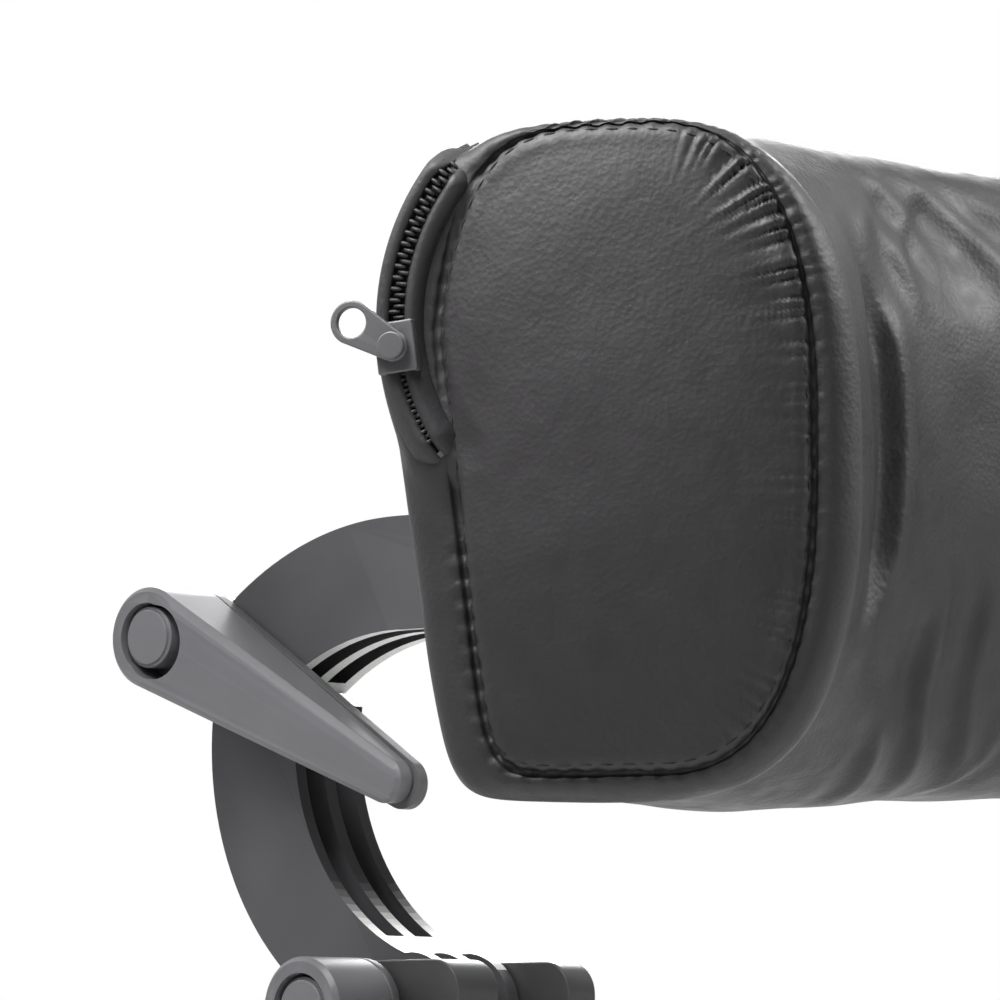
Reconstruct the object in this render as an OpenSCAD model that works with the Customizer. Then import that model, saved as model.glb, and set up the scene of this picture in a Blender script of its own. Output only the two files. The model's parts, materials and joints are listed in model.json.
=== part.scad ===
// Chair headrest attachment: winged cushion on a double-jointed C-shaped arm.
// Origin: centre of the mounting plate's hole pattern, on its front mating face.
// +Z up, -Y towards the sitter's head, +X to the side away from the clamp levers.

/* [Mounting plate] */
// Width of the mounting plate
plate_w = 80; // [76:1:100]
// Height of the mounting plate
plate_h = 68; // [62:1:90]
// Thickness of the mounting plate
plate_t = 5; // [4:0.5:8]
// Hole spacing across
hole_dx = 62; // [58:1:66]
// Hole spacing up and down
hole_dz = 48; // [40:1:50]
// Radius of a mounting hole
hole_r = 3.3; // [2.7:0.1:4.3]

/* [Arms] */
// Width of both arms from side to side
arm_w = 21; // [19:0.5:21]
// Wall thickness of the outer spine of the arms
spine_t = 7.5; // [6:0.5:9]
// Thickness of the arms' side walls
wall_t = 3.1; // [2.4:0.1:3.5]
// Half thickness of the arms' middle rib
rib_half = 1.7; // [1.2:0.1:2]
// Direction of the split between the arms, degrees from +Y
split_a = 209; // [205:1:212]

/* [Levers] */
// Length from the pivot to the centre of the lever tip
lever_l = 69; // [60:1:72]
// Radius of the lever boss
boss_r = 11; // [10.5:0.5:12]
// Depth of the lever boss along its bolt
boss_h = 20; // [18:0.5:22]
// Radius of the round cap in the boss
cap_r = 6.75; // [6:0.25:7]

/* [Cushion] */
// Radius of the cushion's curved back, seen from above
back_r = 315; // [300:5:330]
// Half angle of the cushion's curve, degrees
half_a = 24.4; // [23:0.1:25]
// Thickness at the middle
pad_t_mid = 70; // [66:1:76]
// Thickness at the wings
pad_t_end = 96; // [90:1:98]
// Height at the middle
pad_h_mid = 130; // [126:1:136]
// Height at the wings
pad_h_end = 130.5; // [128:0.5:134]
// Thickness of the leather cover
skin_t = 2; // [1.6:0.1:2.2]

/* [Hidden] */
$fn = 48;

// Pivot centres, [Y, Z]
low_p = [26, 38];
mid_p = [86, 120];
tilt_p = [-28, 132.45];
// Arcs of the arms, [Y, Z] centres and radii
lo_c = [20, 96.5];
lo_r = 66;
li_c = [10.5, 97.5];
li_r = 50.2;
up_c = [30.5, 61.6];
uo_r = 83.2;
ui_r = 58.5;
// Fits
bolt_r = 4;
run_r = 4.06;
bush_r = 5.58;
bush_bore_r = 5.6;
wash_r = 9;
split_gap = 0.15;
aw = arm_w / 2;
// Radii and half widths of the knuckles
lug_r = 12.5;
ear_r = 10;
tongue_r = 9.6;
tongue_w = 4.7;
ear_in = 5.2;
cheek_in = 11.3;
near_cheek = 24;
far_cheek = 20;
cheek_r = 10.5;
tilt_lug_r = 12.25;
tilt_cheek = 16.3;
// Faces the lever backs sit on, as X
up_face = -11.5;
low_face = -25.4;
low_lever_a = 270;
// Cushion reference values
pad_y = -49;
pad_cy = pad_y - back_r;
pad_z_mid = 148.5;
pad_z_end = 140.3;
seam_a = 62;
board_in = 6.8;
board_t = 8;
board_a = 20;
board_z = 148;
board_h = 84;
foam_in = 20;
foam_gap = skin_t + 0.4;
plate_back = -44.4;
plate_front = -48.9;
screw_dx = 22;
// Ends of the cushion lean forward below and above this height
lean_z = 165;
lean_down = 0.15;
lean_up = 0.1;
// Zipper: arc radius, height and depth of its centre, track angles from straight up
zip_r = 45;
zip_cz = 168;
zip_cd = 51;
zip_a0 = 44;
zip_a1 = 128;
zip_rest = 97;
zip_out = 9;
pull_a = 60;
pull_l = 9.5;

// ---- helpers ----
module yz(x0, x1) {
    translate([x0, 0, 0]) rotate([90, 0, 90]) linear_extrude(x1 - x0) children();
}
module disc(p, r) {
    translate(p) circle(r = r, $fn = 96);
}
module xcyl(p, r, x0, x1) {
    translate([x0, p[0], p[1]]) rotate([0, 90, 0]) cylinder(r = r, h = x1 - x0);
}
module ycyl(x, z, r, y0, y1) {
    translate([x, y1, z]) rotate([90, 0, 0]) cylinder(r = r, h = y1 - y0);
}
module xring(p, ro, ri, x0, x1) {
    difference() {
        xcyl(p, ro, x0, x1);
        xcyl(p, ri, x0 - 1, x1 + 1);
    }
}
// Half plane beside the split: side 1 is the lower arm's, side -1 the upper arm's
module half(side, gap) {
    translate(mid_p) rotate(split_a) translate([-150, side > 0 ? gap : -300 - gap])
        square([300, 300]);
}

// ---- base ----
module cheek2d() {
    disc(low_p, cheek_r);
    disc([7, 41.5], 7);
    polygon([[7, 48.5], [low_p[0], 48.5], [33.4, 30.6], [5, -24], [0, -24], [0, 41.5]]);
}
module base_bracket() {
    color([0.2, 0.2, 0.21]) difference() {
        union() {
            translate([-plate_w / 2 + 6, 0, -plate_h / 2]) cube([plate_w - 12, plate_t, plate_h]);
            translate([-plate_w / 2, 0, -plate_h / 2 + 6]) cube([plate_w, plate_t, plate_h - 12]);
            for (x = [-1, 1], z = [-1, 1])
                ycyl(x * (plate_w / 2 - 6), z * (plate_h / 2 - 6), 6, 0, plate_t);
            yz(-near_cheek, -cheek_in) cheek2d();
            yz(cheek_in, far_cheek) cheek2d();
        }
        for (x = [-1, 1], z = [-1, 1])
            ycyl(x * hole_dx / 2, z * hole_dz / 2, hole_r, -1, plate_t + 1);
        xcyl(low_p, run_r, -near_cheek - 1, far_cheek + 1);
    }
}
module pivot_bolt(p, x0, face) {
    color([0.5, 0.5, 0.52]) difference() {
        union() {
            xcyl(p, bolt_r, x0, face + 1);
            xcyl(p, 6.5, face + 0.1, face + 5.1);
        }
        translate([face + 2.6, p[0], p[1]]) rotate([0, 90, 0]) cylinder(r = 2.9, h = 4, $fn = 6);
    }
}
module lower_pivot_bolt() { pivot_bolt(low_p, low_face - 11.4, far_cheek); }
module lower_thrust_washer() {
    color([0.5, 0.5, 0.52]) xring(low_p, wash_r, run_r, -near_cheek - 1.3, -near_cheek - 0.1);
}
module side_washers(p, x0, x1) {
    color([0.85, 0.85, 0.82]) {
        xring(p, wash_r, run_r, x0, x1);
        xring(p, wash_r, run_r, -x1, -x0);
    }
}
module lower_friction_washers() { side_washers(low_p, aw + 0.1, cheek_in - 0.1); }
module bush(p, w) {
    color([0.3, 0.3, 0.3]) xring(p, bush_r, run_r, -w, w);
}
module lower_bush() { bush(low_p, aw); }

// ---- clamp lever: shell, back plate and cap, lying along +Y, back face at X = 0 ----
module lever_frame(p, a, face) {
    translate([face, p[0], p[1]]) rotate([a, 0, 0]) children();
}
module lcyl(y, r, d0, d1) {
    translate([-d0, y, 0]) rotate([0, -90, 0]) cylinder(r = r, h = d1 - d0);
}
module lever_shell() {
    color([0.36, 0.36, 0.38]) difference() {
        union() {
            hull() {
                lcyl(0, boss_r, 3, boss_h - 1, $fn = 64);
                lcyl(0, boss_r - 1, 3, boss_h, $fn = 64);
                lcyl(lever_l - 1.5, 5, 3, 6.5, $fn = 64);
                lcyl(lever_l - 1.5, 4, 3, 7.5, $fn = 64);
            }
            lcyl(0, wash_r, 2.6, 4);
        }
        lcyl(0, run_r, 0, boss_h);
        lcyl(0, 7.5, 12, boss_h + 1);
        lcyl(2.6, 8.2, 12, boss_h + 1);
    }
}
module lever_back() {
    color([0.3, 0.3, 0.32]) difference() {
        hull() {
            lcyl(0, boss_r, 0, 2.6, $fn = 64);
            lcyl(lever_l, 5.5, 0, 2.6, $fn = 64);
        }
        lcyl(0, run_r, -1, 4);
    }
}
module lever_cap() {
    color([0.4, 0.4, 0.42]) union() {
        lcyl(0, cap_r, 12, boss_h - 1.2);
        lcyl(0, cap_r - 0.7, 13, boss_h - 0.5);
    }
}
module lower_lever() { lever_frame(low_p, low_lever_a, low_face) lever_shell(); }
module lower_lever_back() { lever_frame(low_p, low_lever_a, low_face) lever_back(); }
module lower_lever_cap() { lever_frame(low_p, low_lever_a, low_face) lever_cap(); }
module upper_lever() { lever_frame(mid_p, split_a, up_face) lever_shell(); }
module upper_lever_back() { lever_frame(mid_p, split_a, up_face) lever_back(); }
module upper_lever_cap() { lever_frame(mid_p, split_a, up_face) lever_cap(); }

// ---- lower arm ----
module lower_band2d() {
    intersection() {
        difference() {
            disc(lo_c, lo_r);
            disc(li_c, li_r);
        }
        translate([low_p[0], 20]) square([80, 130]);
        half(1, split_gap);
    }
    disc(low_p, lug_r);
    disc(mid_p, ear_r);
}
module lower_pocket2d() {
    difference() {
        intersection() {
            difference() {
                disc(lo_c, lo_r - spine_t);
                disc(li_c, li_r - 4);
            }
            translate([low_p[0] + 10, 30]) square([80, 120]);
            half(1, 3.2);
        }
        disc(mid_p, 16);
    }
}
module lug_groove2d() {
    intersection() {
        difference() {
            disc(low_p, lug_r + 1);
            disc(low_p, 8.8);
        }
        translate([low_p[0] - 20, low_p[1] - 6]) square([22, 30]);
    }
}
module lower_arm() {
    color([0.36, 0.36, 0.38]) difference() {
        yz(-aw, aw) lower_band2d();
        for (s = [-1, 1])
            yz(s > 0 ? rib_half : wall_t - aw, s > 0 ? aw - wall_t : -rib_half) {
                lower_pocket2d();
                lug_groove2d();
            }
        xcyl(mid_p, tongue_r + 0.6, -ear_in, ear_in);
        xcyl(mid_p, run_r, -20, 20);
        xcyl(low_p, bush_bore_r, -20, 20);
    }
}
module mid_pivot_bolt() { pivot_bolt(mid_p, up_face - 11.4, aw); }
module mid_thrust_washer() {
    color([0.5, 0.5, 0.52]) xring(mid_p, wash_r, run_r, up_face + 0.1, -aw - 0.1);
}
module mid_friction_washers() { side_washers(mid_p, tongue_w + 0.05, ear_in - 0.05); }
module mid_bush() { bush(mid_p, tongue_w); }

// ---- upper arm ----
module upper_band2d() {
    intersection() {
        difference() {
            disc(up_c, uo_r);
            disc(up_c, ui_r);
        }
        translate([up_c[0], 100]) square([80, 60]);
        half(-1, split_gap);
    }
    translate([tilt_p[0], up_c[1] + ui_r])
        square([up_c[0] - tilt_p[0], uo_r - ui_r]);
    disc(tilt_p, tilt_lug_r);
    disc(mid_p, tongue_r);
}
module upper_pocket2d() {
    difference() {
        intersection() {
            difference() {
                disc(up_c, uo_r - spine_t);
                disc(up_c, ui_r - 4);
            }
            translate([up_c[0], 90]) square([80, 60]);
            half(-1, 3.2);
        }
        disc(mid_p, 16);
    }
    translate([tilt_p[0] + 18, up_c[1] + ui_r - 4])
        square([up_c[0] - tilt_p[0] - 18, uo_r - ui_r - spine_t + 4]);
}
module upper_arm() {
    color([0.36, 0.36, 0.38]) difference() {
        yz(-aw, aw) upper_band2d();
        for (s = [-1, 1])
            yz(s > 0 ? rib_half : wall_t - aw, s > 0 ? aw - wall_t : -rib_half)
                upper_pocket2d();
        xcyl(mid_p, ear_r + 0.6, tongue_w, 20);
        xcyl(mid_p, ear_r + 0.6, -20, -tongue_w);
        xcyl(mid_p, bush_bore_r, -20, 20);
        xcyl(tilt_p, bush_bore_r, -20, 20);
    }
}
module tilt_bush() { bush(tilt_p, aw); }
module tilt_friction_washers() { side_washers(tilt_p, aw + 0.1, cheek_in - 0.1); }

// ---- head bracket ----
module tilt_bracket() {
    color([0.2, 0.2, 0.21]) difference() {
        union() {
            translate([-31, plate_front, tilt_p[1] - 30])
                cube([62, plate_back - plate_front, 60]);
            for (x0 = [-tilt_cheek, cheek_in])
                yz(x0, x0 + tilt_cheek - cheek_in) {
                    disc(tilt_p, 10);
                    polygon([[tilt_p[0], tilt_p[1] + 10], [plate_back - 1, tilt_p[1] + 18],
                        [plate_back - 1, tilt_p[1] - 18], [tilt_p[0], tilt_p[1] - 10]]);
                }
        }
        for (x = [-1, 1], z = [-1, 1])
            ycyl(x * screw_dx, tilt_p[1] + z * screw_dx, 3.2, plate_front - 1, plate_back + 1);
        xcyl(tilt_p, run_r, -30, 30);
    }
}
module tilt_bolt() { pivot_bolt(tilt_p, -22, tilt_cheek); }
module tilt_nut() {
    color([0.5, 0.5, 0.52]) difference() {
        translate([-tilt_cheek - 6.1, tilt_p[0], tilt_p[1]]) rotate([0, 90, 0])
            cylinder(r = 7.5, h = 6, $fn = 6);
        xcyl(tilt_p, run_r, -30, 0);
    }
}
module bracket_screws() {
    color([0.5, 0.5, 0.52])
        for (x = [-1, 1], z = [-1, 1]) {
            ycyl(x * screw_dx, tilt_p[1] + z * screw_dx, 2.9, -68, plate_back + 1);
            difference() {
                ycyl(x * screw_dx, tilt_p[1] + z * screw_dx, 5.5, plate_back, plate_back + 3.2);
                translate([x * screw_dx, plate_back + 5, tilt_p[1] + z * screw_dx])
                    rotate([90, 0, 0]) cylinder(r = 2.3, h = 3.6, $fn = 6);
            }
        }
}
module tee_nuts() {
    color([0.6, 0.6, 0.6])
        for (x = [-1, 1], z = [-1, 1]) difference() {
            union() {
                ycyl(x * screw_dx, tilt_p[1] + z * screw_dx, 4.4, -66, -57);
                ycyl(x * screw_dx, tilt_p[1] + z * screw_dx, 7.5, -66.5, -65.5);
            }
            ycyl(x * screw_dx, tilt_p[1] + z * screw_dx, 3, -70, -50);
        }
}
module backing_board() {
    color([0.7, 0.55, 0.35]) difference() {
        translate([0, pad_cy, 0]) rotate([0, 0, 90 - board_a]) rotate_extrude(angle = 2 * board_a, $fn = 180)
            translate([back_r - board_in - board_t, board_z - board_h / 2]) square([board_t, board_h]);
        for (x = [-1, 1], z = [-1, 1])
            ycyl(x * screw_dx, tilt_p[1] + z * screw_dx, 4.5, -70, -50);
    }
}

// ---- cushion ----
function mix(a, b, s) = a + (b - a) * s * s;
function spow(v, e) = sign(v) * pow(abs(v), e);
// Point on the cushion: s runs from wing to wing, a round the section, inset moves it
// inwards, k shrinks the section about its middle, out moves it beyond the end and
// no point lies less deep than deep
function pad_pt(s, a, inset, k, out, deep) =
    let (ex = cos(a) < 0 ? 0.74 : sin(a) < 0 ? 0.32 : 0.5,
        th = mix(pad_t_mid, pad_t_end, s),
        hh = mix(pad_h_mid, pad_h_end, s) / 2 - inset,
        z0 = mix(pad_z_mid, pad_z_end, s) + hh * spow(sin(a), ex),
        d0 = inset + (th / 2 - inset) * (1 - spow(cos(a), ex)),
        lean = pow(s, 4) * (z0 < lean_z ? lean_down * (lean_z - z0) : lean_up * (z0 - lean_z)),
        d1 = max(d0 + lean * (1 - d0 / th), deep),
        d = th / 2 + k * (d1 - th / 2),
        z = mix(pad_z_mid, pad_z_end, s) + k * (z0 - mix(pad_z_mid, pad_z_end, s)),
        r = back_r - d, w = s * half_a)
    [r * sin(w) + out * sign(s) * cos(w), pad_cy + r * cos(w) - out * abs(sin(w)), z];
function pad_ring(s, inset, k, out, deep) =
    [for (i = [0:35]) pad_pt(s, i * 10 + 5, inset, k, out, deep)];
// Closed solid through rings of points. A thin ring is an outer run and the inner run back
module loft(rings, thin = false) {
    n = len(rings[0]);
    m = len(rings);
    h = n / 2 - 2;
    caps = thin ? concat(
        [for (i = [0:h], t = [0, 1]) t == 0 ? [i, i + 1, n - 2 - i] : [i, n - 2 - i, n - 1 - i]],
        [for (i = [0:h], t = [0, 1]) let (o = (m - 1) * n)
            t == 0 ? [o + n - 2 - i, o + i + 1, o + i] : [o + n - 1 - i, o + n - 2 - i, o + i]])
        : [[for (i = [0:n - 1]) i], [for (i = [n - 1:-1:0]) (m - 1) * n + i]];
    polyhedron(points = [for (r = rings, p = r) p], faces = concat(caps,
        [for (j = [0:m - 2], i = [0:n - 1], t = [0, 1]) let (b = (i + 1) % n)
            t == 0 ? [j * n + i, (j + 1) * n + i, j * n + b]
                : [j * n + b, (j + 1) * n + i, (j + 1) * n + b]]));
}
// Crown of the ends: [shrink, distance beyond the end plane]
crown = [[1, 0], [0.93, 5], [0.8, 8], [0.5, 9]];
module foam_core() {
    color([0.9, 0.85, 0.6]) loft(concat(
        [for (c = [3:-1:1]) pad_ring(-1, foam_gap, crown[c][0], crown[c][1] - foam_gap - 0.3, foam_in)],
        [for (s = [-6:6]) pad_ring(s / 6, foam_gap, 1, 0, foam_in)],
        [for (c = [1:3]) pad_ring(1, foam_gap, crown[c][0], crown[c][1] - foam_gap - 0.3, foam_in)]));
}
function strip(s, a0, a1, n) = concat(
    [for (i = [0:n]) pad_pt(s, a0 + (a1 - a0) * i / n, 0, 1, 0, 0)],
    [for (i = [n:-1:0]) pad_pt(s, a0 + (a1 - a0) * i / n, skin_t, 1, 0, 0)]);
module cover_front() {
    color([0.2, 0.2, 0.21])
        loft([for (s = [-6:6]) strip(s / 6.03, seam_a + 0.4, 359.6 - seam_a, 20)], true);
}
module cover_back() {
    color([0.18, 0.18, 0.19]) difference() {
        loft([for (s = [-6:6]) strip(s / 6.03, -seam_a, seam_a, 12)], true);
        for (x = [-1, 1], z = [-1, 1])
            ycyl(x * screw_dx, tilt_p[1] + z * screw_dx, 3.4, -60, -45);
    }
}
module cover_end(s) {
    rings = concat(
        [for (c = [3:-1:0]) pad_ring(s, skin_t, crown[c][0], max(crown[c][1] - skin_t, 0), 0)],
        [for (c = [0:3]) pad_ring(s, 0, crown[c][0], crown[c][1], 0)]);
    color([0.2, 0.2, 0.21]) loft(s > 0 ? rings : [for (r = rings) [for (i = [35:-1:0]) r[i]]]);
}
module cover_end_left() { cover_end(-1); }
module cover_end_right() { cover_end(1); }

// ---- zipper: +X up, +Y backwards, +Z outwards from the end, on the axis of its arc ----
module zframe() {
    h = half_a;
    multmatrix([[0, -sin(h), -cos(h), -(back_r - zip_cd) * sin(h)],
        [0, cos(h), -sin(h), pad_cy + (back_r - zip_cd) * cos(h)],
        [1, 0, 0, zip_cz], [0, 0, 0, 1]]) children();
}
// Part of a flat ring on the zip's arc
module zarc(r0, r1, z0, z1, a0, a1) {
    rotate([0, 0, a0]) rotate_extrude(angle = a1 - a0, $fn = 120)
        translate([r0, z0]) square([r1 - r0, z1 - z0]);
}
module zipper_tape() {
    color([0.1, 0.1, 0.1]) zframe() {
        zarc(zip_r + 0.3, zip_r + 5.3, zip_out, zip_out + 0.6, zip_a0, zip_a1);
        zarc(zip_r - 5.3, zip_r - 0.3, zip_out, zip_out + 0.6, zip_a0, zip_a1);
    }
}
module zipper_teeth() {
    color([0.15, 0.15, 0.15]) zframe()
        zarc(zip_r - 2, zip_r + 2, zip_out + 0.65, zip_out + 2.1, zip_a0 + 3.5, zip_a1 - 3.5);
}
module zipper_stops() {
    color([0.4, 0.4, 0.4]) zframe()
        for (a = [zip_a0 + 0.5, zip_a1 - 3])
            zarc(zip_r - 2.6, zip_r + 2.6, zip_out + 0.65, zip_out + 2.4, a, a + 2.5);
}
module zipper_slider() {
    color([0.4, 0.4, 0.42]) zframe() rotate([0, 0, zip_rest]) translate([zip_r, 0, zip_out]) {
        translate([-4, -5, 2.4]) cube([8, 10, 1.2]);
        for (s = [-1, 1])
            translate([s * 3.4 - 0.6, -5, 0.9]) cube([1.2, 10, 2]);
        translate([0, 0, 2.4]) cylinder(r = 1.6, h = 3.6);
        translate([0, 0, 5.8]) cylinder(r = 2.7, h = 0.8);
    }
}
module zipper_pull() {
    color([0.4, 0.4, 0.42]) zframe() rotate([0, 0, zip_rest]) translate([zip_r, 0, zip_out + 3.9])
        rotate([0, 0, pull_a - zip_rest]) difference() {
            linear_extrude(1.6) polygon([
                for (t = [-104:8:104]) [pull_l + 4.3 * cos(t), 4.3 * sin(t)],
                for (t = [104:15.2:256]) [3 * cos(t), 3 * sin(t)]]);
            translate([0, 0, -1]) cylinder(r = 1.66, h = 4);
            translate([pull_l, 0, -1]) cylinder(r = 2.9, h = 4);
        }
}

base_bracket();
lower_pivot_bolt();
lower_thrust_washer();
lower_friction_washers();
lower_bush();
lower_lever();
lower_lever_back();
lower_lever_cap();
lower_arm();
mid_pivot_bolt();
mid_thrust_washer();
mid_friction_washers();
mid_bush();
upper_lever();
upper_lever_back();
upper_lever_cap();
upper_arm();
tilt_bush();
tilt_friction_washers();
tilt_bracket();
tilt_bolt();
tilt_nut();
bracket_screws();
tee_nuts();
backing_board();
foam_core();
cover_front();
cover_back();
cover_end_left();
cover_end_right();
zipper_tape();
zipper_teeth();
zipper_stops();
zipper_slider();
zipper_pull();
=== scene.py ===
import json
import math
import bmesh
import bpy
import numpy as np
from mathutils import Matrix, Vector
from mathutils.kdtree import KDTree


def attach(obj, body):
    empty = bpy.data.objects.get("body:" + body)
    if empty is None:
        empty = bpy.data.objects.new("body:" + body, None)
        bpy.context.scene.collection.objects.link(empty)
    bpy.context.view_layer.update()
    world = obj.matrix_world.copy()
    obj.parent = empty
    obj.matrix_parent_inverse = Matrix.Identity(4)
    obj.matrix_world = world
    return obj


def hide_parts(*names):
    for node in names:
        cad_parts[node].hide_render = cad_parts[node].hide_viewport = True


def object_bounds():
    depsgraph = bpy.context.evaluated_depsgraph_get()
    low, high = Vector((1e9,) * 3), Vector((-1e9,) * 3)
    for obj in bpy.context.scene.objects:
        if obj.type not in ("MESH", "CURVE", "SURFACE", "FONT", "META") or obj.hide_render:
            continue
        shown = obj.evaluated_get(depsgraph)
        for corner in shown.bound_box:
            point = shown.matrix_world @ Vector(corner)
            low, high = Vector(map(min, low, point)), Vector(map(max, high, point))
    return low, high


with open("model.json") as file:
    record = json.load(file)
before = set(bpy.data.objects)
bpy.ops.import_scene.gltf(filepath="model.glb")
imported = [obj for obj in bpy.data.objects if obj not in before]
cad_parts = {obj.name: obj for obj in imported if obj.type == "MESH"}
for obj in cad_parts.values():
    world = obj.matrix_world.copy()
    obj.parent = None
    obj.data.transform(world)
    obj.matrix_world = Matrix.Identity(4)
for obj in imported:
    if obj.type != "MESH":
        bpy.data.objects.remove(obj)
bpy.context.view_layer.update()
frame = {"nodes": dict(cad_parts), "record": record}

# ---------------------------------------------------------------- camera
scene = bpy.context.scene
cam_data = bpy.data.cameras.new("camera")
cam = bpy.data.objects.new("camera", cam_data)
scene.collection.objects.link(cam)
scene.camera = cam
cam_data.sensor_width = 36
cam_data.lens = 259.2
cam_data.clip_start, cam_data.clip_end = 0.1, 30
CAM_AT = Vector((-1.1487, -1.0245, 0.0124))
CAM_TO = Vector((0.0358, 0.042, 0.1519))
cam.location = CAM_AT
cam.rotation_euler = (CAM_TO - CAM_AT).to_track_quat("-Z", "Y").to_euler()


# ---------------------------------------------------------------- materials
def new_material(name):
    m = bpy.data.materials.new(name)
    m.use_nodes = True
    tree = m.node_tree
    return m, tree, tree.nodes["Principled BSDF"]


def add(tree, kind, **values):
    node = tree.nodes.new(kind)
    for key, value in values.items():
        if key in node.inputs:
            node.inputs[key].default_value = value
        else:
            setattr(node, key, value)
    return node


def coords(tree, scale=(1, 1, 1)):
    tex = tree.nodes.new("ShaderNodeTexCoord")
    mapping = tree.nodes.new("ShaderNodeMapping")
    mapping.inputs["Scale"].default_value = scale
    tree.links.new(tex.outputs["Object"], mapping.inputs["Vector"])
    return mapping.outputs["Vector"]


def ramp(tree, source, stops):
    node = tree.nodes.new("ShaderNodeValToRGB")
    els = node.color_ramp.elements
    while len(els) < len(stops):
        els.new(0.5)
    for el, (pos, col) in zip(els, stops):
        el.position = pos
        el.color = (*col, 1) if len(col) == 3 else col
    tree.links.new(source, node.inputs["Fac"])
    return node


def grey(v):
    return (v, v, v)


def bump_chain(tree, shader, layers):
    last = None
    for source, strength, distance in layers:
        node = add(tree, "ShaderNodeBump", Strength=strength, Distance=distance)
        tree.links.new(source, node.inputs["Height"])
        if last:
            tree.links.new(last, node.inputs["Normal"])
        last = node.outputs["Normal"]
    tree.links.new(last, shader.inputs["Normal"])


# Pores of the leather in a metre
PORES = 900


def leather(name, lo, hi, rough):
    m, t, sh = new_material(name)
    v = coords(t)
    cells = add(t, "ShaderNodeTexVoronoi", Scale=PORES, feature="F1")
    fine = add(t, "ShaderNodeTexNoise", Scale=PORES * 2.2, Detail=3.0, Roughness=0.6)
    creases = add(t, "ShaderNodeTexNoise", Scale=150.0, Detail=5.0, Roughness=0.55, Distortion=0.6)
    broad = add(t, "ShaderNodeTexNoise", Scale=22.0, Detail=3.0)
    for n in (cells, fine, creases, broad):
        t.links.new(v, n.inputs["Vector"])
    col = ramp(t, broad.outputs["Fac"], [(0.3, lo), (0.7, hi)])
    t.links.new(col.outputs["Color"], sh.inputs["Base Color"])
    rg = ramp(t, creases.outputs["Fac"], [(0.3, grey(rough[0])), (0.7, grey(rough[1]))])
    t.links.new(rg.outputs["Color"], sh.inputs["Roughness"])
    bump_chain(t, sh, [(cells.outputs["Distance"], 0.25, 0.00025),
                       (fine.outputs["Fac"], 0.2, 0.00015),
                       (creases.outputs["Fac"], 0.25, 0.0008)])
    return m


def paint_rib_highlight_and_shade(tree, shader):
    """Painted highlight, near-white, on the rib edges where the mesh's mark is 1; painted shade, near-black
    and matt, where it is -1.
    """
    painted_light = add(tree, "ShaderNodeAttribute", attribute_name="painted_light")
    # Noise that breaks the painted highlight into brighter and duller patches
    grain = add(tree, "ShaderNodeTexNoise", Scale=260.0, Detail=3.0)
    patch = ramp(tree, grain.outputs["Fac"], [(0.30, grey(0.55)), (0.60, grey(1.0))])
    highlight_amount = add(tree, "ShaderNodeMath", operation="MULTIPLY", use_clamp=True)
    tree.links.new(painted_light.outputs["Fac"], highlight_amount.inputs[0])
    tree.links.new(patch.outputs["Color"], highlight_amount.inputs[1])
    colour = shader.inputs["Base Color"].links[0].from_socket
    # Painted highlight: a near-white base colour on the rib edges, standing in for their gloss
    painted_highlight = add(tree, "ShaderNodeMixRGB", Color2=(0.78, 0.80, 0.76, 1))
    tree.links.new(highlight_amount.outputs["Value"], painted_highlight.inputs["Fac"])
    tree.links.new(colour, painted_highlight.inputs["Color1"])
    # Painted shade: the base colour goes near-black where the mark is -1, on rib edges that lie in shade
    shade_amount = add(tree, "ShaderNodeMath", operation="MULTIPLY", use_clamp=True)
    shade_amount.inputs[1].default_value = -1.0
    tree.links.new(painted_light.outputs["Fac"], shade_amount.inputs[0])
    painted_shade = add(tree, "ShaderNodeMixRGB", Color2=(0.006, 0.006, 0.006, 1))
    tree.links.new(shade_amount.outputs["Value"], painted_shade.inputs["Fac"])
    tree.links.new(painted_highlight.outputs["Color"], painted_shade.inputs["Color1"])
    tree.links.new(painted_shade.outputs["Color"], shader.inputs["Base Color"])
    matt = add(tree, "ShaderNodeMixRGB", Color2=(0.95, 0.95, 0.95, 1))
    tree.links.new(shade_amount.outputs["Value"], matt.inputs["Fac"])
    tree.links.new(shader.inputs["Roughness"].links[0].from_socket, matt.inputs["Color1"])
    tree.links.new(matt.outputs["Color"], shader.inputs["Roughness"])


def coated(name, lo, hi, rough):
    """Paint or plastic with a fine orange peel, slightly paler on worn edges."""
    m, t, sh = new_material(name)
    v = coords(t)
    peel = add(t, "ShaderNodeTexNoise", Scale=700.0, Detail=2.0)
    broad = add(t, "ShaderNodeTexNoise", Scale=30.0, Detail=4.0)
    wear = add(t, "ShaderNodeNewGeometry")
    for n in (peel, broad):
        t.links.new(v, n.inputs["Vector"])
    col = ramp(t, broad.outputs["Fac"], [(0.3, lo), (0.7, hi)])
    edge = ramp(t, wear.outputs["Pointiness"], [(0.5, grey(0.0)), (0.56, grey(1.0))])
    mixer = add(t, "ShaderNodeMixRGB", blend_type="MIX")
    gain = add(t, "ShaderNodeMath", operation="MULTIPLY")
    gain.inputs[1].default_value = 0.35
    t.links.new(edge.outputs["Color"], gain.inputs[0])
    t.links.new(gain.outputs["Value"], mixer.inputs["Fac"])
    t.links.new(col.outputs["Color"], mixer.inputs["Color1"])
    mixer.inputs["Color2"].default_value = (*[min(1, c * 1.7) for c in hi], 1)
    t.links.new(mixer.outputs["Color"], sh.inputs["Base Color"])
    rg = ramp(t, broad.outputs["Fac"], [(0.3, grey(rough[0])), (0.7, grey(rough[1]))])
    t.links.new(rg.outputs["Color"], sh.inputs["Roughness"])
    bump_chain(t, sh, [(peel.outputs["Fac"], 0.12, 0.0002)])
    return m


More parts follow.
